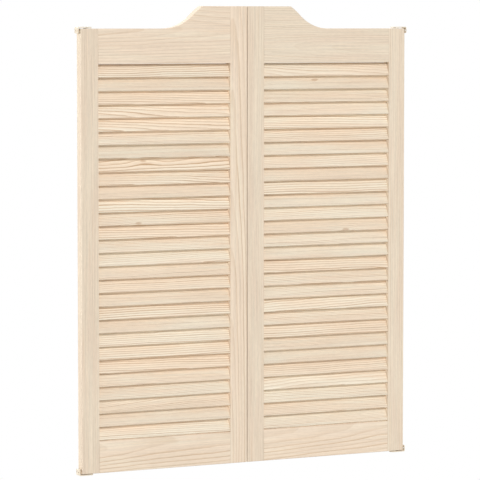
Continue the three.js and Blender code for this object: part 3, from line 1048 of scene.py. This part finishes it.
@dataclass
class LouvreSlats:
    """The fixed slats of both leaves. Lengths are in metres."""

    pine: Material
    count: int = 28  # slats in a leaf
    banks: int = 7  # nodes that hold a leaf's slats
    width: float = 30.5 * MM
    thickness: float = 5.5 * MM
    nose: float = 1.0 * MM  # radius of a slat's rounded edges
    tilt: float = math.radians(23.044)  # how far a slat leans back from upright
    stray: float = math.radians(0.25)  # most that one slat's tilt differs
    play: float = PLAY  # room round a slat's end in its housing
    seed: int = 11  # seed of the slats' differences
    tree: ShapeTree = field(init=False)  # the tree that lays the slats

    def __post_init__(self) -> None:
        """Make the tree, which both leaves share."""
        self.tree = self._grown_tree()

    def _nodes(self, side: Side) -> list[str]:
        """The nodes that hold a leaf's slats, from the lowest."""
        return [side.node(f"slat_bank_{i + 1}") for i in range(self.banks)]

    def _run(self, side: Side) -> tuple[Vector, float, float]:
        """Where a leaf's slats lie.

        Args:
            side: The leaf.

        Returns:
            The left end of the lowest one's middle line, their length and their pitch.
        """
        boxes = [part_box(node) for node in self._nodes(side)]
        low, high = boxes[0][0], boxes[-1][1]
        rise = self.width * math.cos(self.tilt) + self.thickness * math.sin(self.tilt)
        pitch = (high.z - low.z - rise) / (self.count - 1)
        start = Vector((low.x, (low.y + high.y) / 2, low.z + rise / 2))
        return start, high.x - low.x, pitch

    def housings(self, side: Side, face: float, outward: int) -> list[Mesh]:
        """What the slats' ends take out of a stile.

        Args:
            side: The leaf.
            face: Where the stile's inner face lies across the doorway.
            outward: Sign of the way from that face into the stile.

        Returns:
            One tilted shell for each slat.
        """
        start, length, pitch = self._run(side)
        floor = start.x + (length if outward > 0 else 0) + outward * self.play
        ends = (floor, face - outward * OVERCUT)
        thick, wide = self.thickness / 2 + self.play, self.width / 2 + self.play
        sine, cosine = math.sin(self.tilt), math.cos(self.tilt)
        half = [(self.nose - thick, -wide), (thick, -wide), (thick, wide - self.nose)]
        corners = half + [(-y, -z) for y, z in half]
        shells = []
        for i in range(self.count):
            level = start.z + i * pitch
            section = [(start.y + y * cosine + z * sine, level - y * sine + z * cosine) for y, z in corners]
            shells.append(loft([[Vector((x, y, z)) for y, z in section] for x in ends]))
        return shells

    @staticmethod
    def _grown_tree() -> ShapeTree:
        """Build the tree that lays rounded slats up a leaf.

        Returns:
            The tree.
        """
        kinds = dict.fromkeys(("Length", "Pitch", "Width", "Thickness", "Nose", "Tilt", "Stray"), "Float")
        kinds |= {"Start": "Vector", "Count": "Int", "Seed": "Int", "Material": "Material"}
        tree = ShapeTree("louvre_slats", kinds)
        sheet, size = tree.sheet, tree.size

        oblong = {"Width": size["Thickness"], "Height": size["Width"]}
        section = sheet.node("GeometryNodeCurvePrimitiveQuadrilateral", {"mode": "RECTANGLE"}, oblong)
        nose = {"Curve": section, "Radius": size["Nose"], "Count": ARC_STEPS}
        section = sheet.node("GeometryNodeFilletCurve", {"mode": "POLY"}, nose)
        far = sheet.joined(size["Length"], 0.0, 0.0)
        run = sheet.node("GeometryNodeCurvePrimitiveLine", {"mode": "POINTS"}, {"End": far})
        slat = tree.swept(run, section)
        along, through, across = sheet.split(sheet.node("GeometryNodeInputPosition"))
        grain = sheet.scaled(sheet.joined(along - size["Length"] / 2, across, through), 1 / MM)
        slat = tree.stored(slat, "POINT", GRAIN_PLACE, grain)

        rise = sheet.joined(0.0, 0.0, size["Pitch"])
        row = {"Count": size["Count"], "Start Location": size["Start"], "Offset": rise}
        feet = sheet.node("GeometryNodeMeshLine", {"mode": "OFFSET"}, row)
        bounds = {0: (0, 0, 0), 1: (1, 1, 1), "Seed": size["Seed"]}
        lots = sheet.node("FunctionNodeRandomValue", {"data_type": "FLOAT_VECTOR"}, bounds)
        lean = (sheet.split(lots)[2] - 0.5) * 2.0 * size["Stray"] - size["Tilt"]
        turn = sheet.node("FunctionNodeEulerToRotation", None, {0: sheet.joined(lean, 0.0, 0.0)})
        laid = {"Points": feet, "Instance": slat, "Rotation": turn}
        slats = sheet.node("GeometryNodeInstanceOnPoints", None, laid)
        tree.close(tree.stored(slats, "INSTANCE", BOARD_SEED, lots))
        return tree

    def build(self, side: Side) -> None:
        """Build and dress a leaf's slats.

        Args:
            side: The leaf.
        """
        start, length, pitch = self._run(side)
        thing = placed(side.node("slats"), bpy.data.meshes.new("slats"))
        own = ("Width", "Thickness", "Nose", "Tilt", "Stray", "Count")
        values = {name: getattr(self, name.lower()) for name in own}
        values |= {"Start": start, "Length": length, "Pitch": pitch}
        values |= {"Seed": self.seed - side.value, "Material": self.pine}
        self.tree.apply(thing, values)
        settled(thing)
        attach(thing, side.leaf)
        dressed(thing, self.pine, Slot.SLAT_PINE, *self._nodes(side))


@dataclass
class PivotSet:
    """One leaf's brackets, pins, bushes and return spring. Lengths are in metres."""

    side: Side
    enamel: Material
    zinc: Material
    wire: Material
    nylon: Material
    sheet_thickness: float = 2.0 * MM
    bend: float = 1.0 * MM  # inner radius of the brackets' bend
    corner: float = 2.5 * MM  # radius of the brackets' corners at the jamb
    corner_turn: float = 0.97 * QUARTER  # short of a quarter, so that the flange's end keeps a face
    burr: float = 0.25 * MM  # radius of the brackets' edges
    tip_steps: int = 12
    bend_steps: int = 8  # steps in a bend of a bracket or of the wire
    corner_steps: int = 6
    pin_radius: float = 3.0 * MM
    pin_soft: float = 0.2 * MM  # size of the broken edges of a pin's ends
    pin_head: float = 3.0 * MM  # length of the head that holds the spring
    chamfer: float = 0.8 * MM  # size of the bevel on the bottom pin's end
    rivet_radius: float = 4.5 * MM  # radius of a pin's riveted end
    rivet_depth: float = 1.2 * MM  # depth of the riveted taper
    fit: float = PLAY  # room round a pin in its hole
    screw_radius: float = 2.0 * MM
    screw_head: float = 3.5 * MM  # radius of a screw's countersink
    screw_sink: float = 1.4 * MM  # depth of the countersink
    screw_spacing: float = 9.0 * MM
    flange: float = BUSH_FLANGE
    flange_thickness: float = 1.0 * MM
    bush_soft: float = 0.25 * MM  # size of a bush's broken edges
    coils: int = 6
    coil_gap: float = 0.5 * MM  # air between one coil and the next
    coil_steps: int = 24
    wire_radius: float = 1.0 * MM
    wire_sides: int = 12
    wire_clearance: float = 1.2 * MM  # air between pin and coils
    wire_bend: float = 3.0 * MM  # radius of the bends into the tangs

    def build(self) -> None:
        """Build and dress the pivots' pieces."""
        for end in End:
            self._bracket(end)
            self._bush(end)
            self._pin(end)
        self._spring()

    def _pivot(self, height: float) -> Vector:
        """The point on the pivot's axis at a height."""
        low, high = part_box(self.side.node("bottom_pin"))
        return Vector(((low.x + high.x) / 2, 0, height))

    def _stations(self, reach: float, half_width: float, length: float) -> list[Station]:
        """Stations along the middle of a bracket's steel, from the tongue's round tip to the flange's end.

        Args:
            reach: From the jamb to the pivot's axis.
            half_width: Half the bracket's width.
            length: Length of the flange.

        Returns:
            Distance from the jamb, height, turn and half width at each station.
        """
        half = self.sheet_thickness / 2
        middle, curl = self.bend + half, self.bend + self.sheet_thickness
        stations = []
        for angle in sweep(QUARTER, self.tip_steps)[1:]:
            stations.append((reach + half_width * math.cos(angle), half, 0.0, half_width * math.sin(angle)))
        for angle in sweep(QUARTER, self.bend_steps):
            across, height = curl - middle * math.sin(angle), curl - middle * math.cos(angle)
            stations.append((across, height, angle, half_width))
        for angle in sweep(self.corner_turn, self.corner_steps):
            height = length - self.corner * (1 - math.sin(angle))
            stations.append((half, height, QUARTER, half_width - self.corner * (1 - math.cos(angle))))
        return stations

    def _bracket_holes(self, end: End, jamb: float, foot: float, length: float) -> list[Mesh]:
        """What the pin and the screws take out of a bracket.

        Args:
            end: The leaf's end that it carries.
            jamb: Where the jamb's face lies across the doorway.
            foot: Height of the tongue's outer face.
            length: Length of the flange.

        Returns:
            Three countersunk shells.
        """
        hand, through = self.side.value, self.sheet_thickness + OVERCUT
        pin = sunk(self.pin_radius + self.fit, self.rivet_radius + self.fit, self.rivet_depth, through)
        holes = [turned(pin, self._pivot(foot), end.inward)]
        screw = sunk(self.screw_radius, self.screw_head, self.screw_sink, through)
        inner = jamb - hand * self.sheet_thickness
        centre = foot + end.value * (self.sheet_thickness + length) / 2
        for step in (-0.5, 0.5):
            place = Vector((inner, step * self.screw_spacing, centre))
            holes.append(turned(screw, place, Vector((hand, 0, 0))))
        return holes

    def _bracket(self, end: End) -> None:
        """Build one bracket: a tongue with a round tip, bent into a flange for the jamb.

        Args:
            end: The leaf's end that it carries.
        """
        node = self.side.node(f"{end.title}_jamb_bracket")
        low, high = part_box(node)
        hand = self.side.value
        jamb = high.x if hand > 0 else low.x
        foot, length = end.outer((low, high)), high.z - low.z
        reach = abs(jamb - self._pivot(foot).x)
        half = self.sheet_thickness / 2
        rings = []
        for across, height, angle, wide in self._stations(reach, (high.y - low.y) / 2, length):
            ring = []
            for y, lift in rounded((-wide, -half), (wide, half), (self.burr,) * 4):
                depth = across + lift * math.sin(angle)
                level = height + lift * math.cos(angle)
                ring.append(Vector((jamb - hand * depth, y, foot + end.value * level)))
            rings.append(ring)
        thing = placed(self.side.node(f"{end.title}_angle"), loft(rings))
        carved(thing, self._bracket_holes(end, jamb, foot, length))
        smooth(thing)
        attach(thing, FITTINGS)
        dressed(thing, self.enamel, Slot.ENAMEL, node)

    def _bush(self, end: End) -> None:
        """Build one flanged bush.

        Args:
            end: The leaf's end that it lies in.
        """
        node = self.side.node(f"{end.title}_bush")
        low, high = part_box(node)
        rim = (high.x - low.x) / 2
        sleeve, hole = rim - self.flange, self.pin_radius + self.fit
        thick, length, soft = self.flange_thickness, high.z - low.z, self.bush_soft
        profile = [
            (hole + soft, 0),
            (rim - soft, 0),
            (rim, soft),
            (rim, thick),
            (sleeve, thick),
            (sleeve, length - soft),
            (sleeve - soft, length),
            (hole, length),
            (hole, soft),
        ]
        shell = turned(profile, self._pivot(end.outer((low, high))), end.inward, True)
        thing = placed(self.side.node(f"{end.title}_pivot_bush"), shell)
        smooth(thing)
        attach(thing, self.side.leaf)
        dressed(thing, self.nylon, Slot.NYLON, node)

    def _pin(self, end: End) -> None:
        """Build one riveted pivot pin, with a bevel at the bottom or a head for the spring at the top.

        Args:
            end: The leaf's end that it carries.
        """
        node = self.side.node(f"{end.title}_pin")
        low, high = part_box(node)
        radius, rivet, soft = self.pin_radius, self.rivet_radius, self.pin_soft
        length, head = high.z - low.z, (high.x - low.x) / 2
        profile = [(rivet - soft, 0), (rivet, soft), (radius, self.rivet_depth)]
        if end is End.BOTTOM:
            profile += [(radius, length - self.chamfer), (radius - self.chamfer, length)]
        else:
            neck = length - self.pin_head
            profile += [(radius, neck), (head - soft, neck), (head, neck + soft)]
            profile += [(head, length - soft), (head - soft, length)]
        shell = turned(profile, self._pivot(end.outer((low, high))), end.inward)
        thing = placed(self.side.node(f"{end.title}_pivot_pin"), shell)
        smooth(thing)
        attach(thing, FITTINGS)
        dressed(thing, self.zinc, Slot.ZINC, node)

    def _wire_line(self) -> list[Vector]:
        """The spring's centre line: a tang, a bend, the coils, a bend, a tang.

        Returns:
            Points from the lower tang to the upper one.
        """
        low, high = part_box(self.side.node("return_spring"))
        radius = self.pin_radius + self.wire_clearance + self.wire_radius
        pitch = 2 * self.wire_radius + self.coil_gap
        climb = math.atan2(pitch, 2 * math.pi * radius)
        rise = self.coils * pitch + 2 * self.wire_bend * math.cos(climb)
        run = 2 * math.pi * radius * self.coils + 2 * self.wire_bend * (1 - math.sin(climb))
        tang = (high.z - low.z - rise) / 2
        angles = sweep(QUARTER - climb, self.bend_steps)
        lower = [(0.0, -tang)]
        lower += [(self.wire_bend * (1 - math.cos(a)), self.wire_bend * math.sin(a)) for a in angles]
        upper = [(run - along, rise - height) for along, height in reversed(lower)]
        steps = self.coils * self.coil_steps
        (x0, z0), (x1, z1) = lower[-1], upper[0]
        coil = [(x0 + (x1 - x0) * i / steps, z0 + (z1 - z0) * i / steps) for i in range(1, steps)]
        foot = self._pivot(low.z + tang)
        line = []
        for along, height in lower + coil + upper:
            angle = self.side.value * along / radius
            line.append(foot + Vector((radius * math.cos(angle), radius * math.sin(angle), height)))
        return line

    @staticmethod
    def _wire_tree() -> ShapeTree:
        """Build the tree that lays round wire along a line.

        Returns:
            The tree.
        """
        kinds = {"Line": "Geometry", "Radius": "Float", "Sides": "Int", "Material": "Material"}
        tree = ShapeTree("spring_wire", kinds)
        circle = {"Resolution": tree.size["Sides"], "Radius": tree.size["Radius"]}
        section = tree.sheet.node("GeometryNodeCurvePrimitiveCircle", {"mode": "RADIUS"}, circle)
        wire = tree.swept(tree.size["Line"], section)
        tree.close(tree.sheet.node("GeometryNodeSetShadeSmooth", None, {"Geometry": wire}))
        return tree

    def _spring(self) -> None:
        """Build the return spring from its centre line."""
        line = self._wire_line()
        curve = bpy.data.curves.new("wire", "CURVE")
        curve.dimensions = "3D"
        spline = curve.splines.new("POLY")
        spline.points.add(len(line) - 1)
        for point, place in zip(spline.points, line):
            point.co = (*place, 1.0)
        thing = placed("wire_line", curve)
        values = {"Radius": self.wire_radius, "Sides": self.wire_sides, "Material": self.wire}
        self._wire_tree().apply(thing, values)
        mesh = baked(thing)
        bpy.data.objects.remove(thing)
        bpy.data.curves.remove(curve)
        spring = placed(self.side.node("return_coil"), mesh)
        start, end = self._pivot(line[0].z), self._pivot(line[-1].z)
        self.side.leaf
        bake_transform(spring)
        dressed(spring, self.wire, Slot.SPRING, self.side.node("return_spring"))


@dataclass
class Dowels:
    """The dowels of both leaves, which keep their own shapes."""

    beech: Material

    def dress(self) -> None:
        """Give every dowel its material."""
        for name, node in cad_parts.items():
            if "_dowel_" in name:
                node.material_slots[0].material = self.beech
                log.info("%s: beech", name)


@dataclass(frozen=True)
class Lamp:
    """A large soft lamp that faces the doors."""

    name: str
    turn: float  # where it stands, in degrees from straight in front, to the right
    lift: float  # its height over the doors' middle, in degrees
    power: float  # its power in watts
    distance: float = 9.0  # how far away it stands, in metres
    size: float = 5.0  # width of its face in metres

    def hang(self, aim: Vector) -> None:
        """Put the lamp into the scene.

        Args:
            aim: The point that it faces.
        """
        data = bpy.data.lights.new(self.name, "AREA")
        data.shape = "DISK"
        data.size = self.size
        data.energy = self.power
        way = heading(180 - self.turn, self.lift)
        aimed(placed(self.name, data), aim + way * self.distance, -way)


@dataclass
class Studio:
    """Floor, light and camera. Lengths are in metres."""

    floor_drop: float = 0.6  # how far below the doors the floor lies
    floor_span: float = 60.0
    floor_shades: tuple[Colour, Colour] = (srgb(205, 205, 204), srgb(210, 210, 210))
    cloud_size: float = 0.8  # size of the patches of each shade
    shade_reach: Point = (1.0, 3.2)  # how far from the doors the floor shows their shadow fully, and no more
    white_share: Point = (0.8, 1.0)  # share of plain white in the floor near the doors and far from them
    ambient: float = 0.44  # strength of the light from all round
    lamps: tuple[Lamp, ...] = (
        Lamp("key", -7.0, 30.0, 8520.0, distance=40.0, size=11.0),
        Lamp("side", -112.0, 12.0, 460.0),
        Lamp("rear", 165.0, 38.0, 300.0),
    )
    lamp_aim: Triple = (0.0, 0.0, 0.5)  # the point that the lamps face
    camera_place: Triple = (-2.9549, -5.6925, 0.9538)
    camera_turn: Point = (27.336, 4.1734)  # its turn to the right and its tilt down, in degrees
    lens: float = 221.62  # the camera's focal length, in millimetres
    sensor: float = 36.0  # width of its sensor, in millimetres
    sight: float = 200.0  # how far the camera sees

    def build(self) -> None:
        """Set up the floor, the surroundings, the lamps and the camera."""
        scene = bpy.context.scene
        scene.view_settings.view_transform = "Standard"
        self._floor()
        self._surroundings(scene)
        for lamp in self.lamps:
            lamp.hang(Vector(self.lamp_aim))
        self._camera(scene)
        log.info("studio set")

    @staticmethod
    def _seen(sheet: NodeSheet) -> Sock:
        """One on what the camera sees, straight or through a gloss, and zero elsewhere.

        Args:
            sheet: The sheet that the nodes go on.

        Returns:
            The mask.
        """
        path = sheet.node("ShaderNodeLightPath", None, None, "Is Camera Ray")
        mirrored = path.other("Is Glossy Ray") + path.other("Is Transmission Ray")
        return sheet.maths("MINIMUM", path + mirrored, 1.0)

    def _floor(self) -> None:
        """Lay a pale floor that stays white behind the doors and clear from underneath."""
        half = self.floor_span / 2
        mesh = bpy.data.meshes.new("floor")
        corners = [(-half, -half), (half, -half), (half, half), (-half, half)]
        mesh.from_pydata([(x, y, -self.floor_drop) for x, y in corners], [], [(0, 1, 2, 3)])
        floor = placed("floor", mesh)
        material, sheet = blank_material("pale_floor")
        place = sheet.place()
        pale = sheet.mix(sheet.noise(place, (self.cloud_size,) * 3), *self.floor_shades)
        ground = sheet.node("ShaderNodeBsdfDiffuse", None, {"Color": pale})
        glow = sheet.node("ShaderNodeEmission", None, {"Color": WHITE, "Strength": 1.0})
        away = sheet.node("ShaderNodeVectorMath", {"operation": "LENGTH"}, {0: place}, "Value")
        white = away.step(*self.shade_reach).between(*self.white_share)
        shown = sheet.node("ShaderNodeMixShader", None, {0: self._seen(sheet) * white, 1: ground, 2: glow})
        clear = sheet.node("ShaderNodeBsdfTransparent")
        under = sheet.node("ShaderNodeNewGeometry", None, None, "Backfacing")
        surface = sheet.node("ShaderNodeMixShader", None, {0: under, 1: shown, 2: clear})
        sheet.node("ShaderNodeOutputMaterial", None, {"Surface": surface})
        mesh.materials.append(material)

    def _surroundings(self, scene: bpy.types.Scene) -> None:
        """Light the scene from all round, and show white behind it.

        Args:
            scene: The scene.
        """
        world = bpy.data.worlds.new("studio")
        world.use_nodes = True
        sheet = NodeSheet(world.node_tree)
        light, white = (
            sheet.node("ShaderNodeBackground", None, {"Color": WHITE, "Strength": strength})
            for strength in (self.ambient, 1.0)
        )
        shown = sheet.node("ShaderNodeMixShader", None, {0: self._seen(sheet), 1: light, 2: white})
        sheet.node("ShaderNodeOutputWorld", None, {"Surface": shown})
        scene.world = world

    def _camera(self, scene: bpy.types.Scene) -> None:
        """Stand the camera where the picture was taken.

        Args:
            scene: The scene.
        """
        data = bpy.data.cameras.new("camera")
        data.lens = self.lens
        data.sensor_width = self.sensor
        data.clip_end = self.sight
        turn, tilt = self.camera_turn
        scene.camera = placed("camera", data)
        aimed(scene.camera, self.camera_place, heading(turn, -tilt))


FRAME_FINISH = PineFinish(
    name="frame_pine",
    early=srgb(238, 223, 201),
    late=srgb(204, 174, 140),
    blush=srgb(235, 216, 194),
    amber=srgb(216, 188, 155),
    knot=srgb(196, 158, 120),
    ring_pitch=4.8,
    ring_share=0.62,
    pith_reach=150.0,
    pith_offset=0.0,
    pith_depth=24.0,
    lean=0.12,
    knot_chance=0.02,
)
SLAT_FINISH = PineFinish(
    name="slat_pine",
    early=srgb(241, 231, 211),
    late=srgb(195, 163, 130),
    blush=srgb(240, 222, 199),
    amber=srgb(220, 192, 160),
    knot=srgb(190, 155, 120),
    ring_pitch=3.2,
    ring_share=1.25,
    pith_reach=110.0,
    pith_offset=22.0,
    pith_depth=10.0,
    lean=0.11,
    knot_chance=0.04,
)
BEECH_FINISH = BeechFinish("dowel_beech", srgb(224, 192, 152), srgb(170, 122, 80))
ZINC_FINISH = FittingFinish(
    name="zinc_steel",
    ground=srgb(214, 217, 220),
    patch=srgb(188, 192, 197),
    patch_size=0.0012,
    grit_size=(0.0004, 0.0004, 0.006),
    grit_detail=3.0,
    rough=(0.2, 0.4),
    relief=(0.00003, 0.3),
    patch_rough=0.12,
    metallic=1.0,
)
SPRING_FINISH = replace(
    ZINC_FINISH,
    name="spring_steel",
    ground=srgb(150, 153, 158),
    patch=srgb(120, 123, 128),
    patch_size=0.0006,
    rough=(0.18, 0.38),
)
ENAMEL_FINISH = FittingFinish(
    name="cream_enamel",
    ground=srgb(236, 223, 201),
    patch=srgb(231, 216, 192),
    patch_size=0.006,
    grit_size=(0.0009, 0.0009, 0.0009),
    grit_detail=1.0,
    rough=(0.4, 0.48),
    relief=(0.00004, 0.35),
    coat=0.15,
)
NYLON_FINISH = FittingFinish(
    name="nylon",
    ground=srgb(226, 222, 211),
    patch=srgb(238, 235, 227),
    patch_size=0.004,
    grit_size=(0.0002, 0.0002, 0.0002),
    grit_detail=1.0,
    rough=(0.38, 0.48),
    relief=(0.00002, 0.2),
)


def main() -> None:
    """Build the doors' pieces and the studio in order."""
    logging.basicConfig(level=logging.INFO, format="%(message)s")
    frame_pine = FRAME_FINISH.material()
    fittings = [finish.material() for finish in (ENAMEL_FINISH, ZINC_FINISH, SPRING_FINISH, NYLON_FINISH)]
    slats = LouvreSlats(SLAT_FINISH.material())
    draw = random.Random(BOARD_DRAW)
    for side in Side:
        LeafFrame(side, frame_pine, draw, slats).build()
        slats.build(side)
        PivotSet(side, *fittings).build()
    Dowels(BEECH_FINISH.material()).dress()
    Studio().build()


if __name__ == "__main__":
    main()
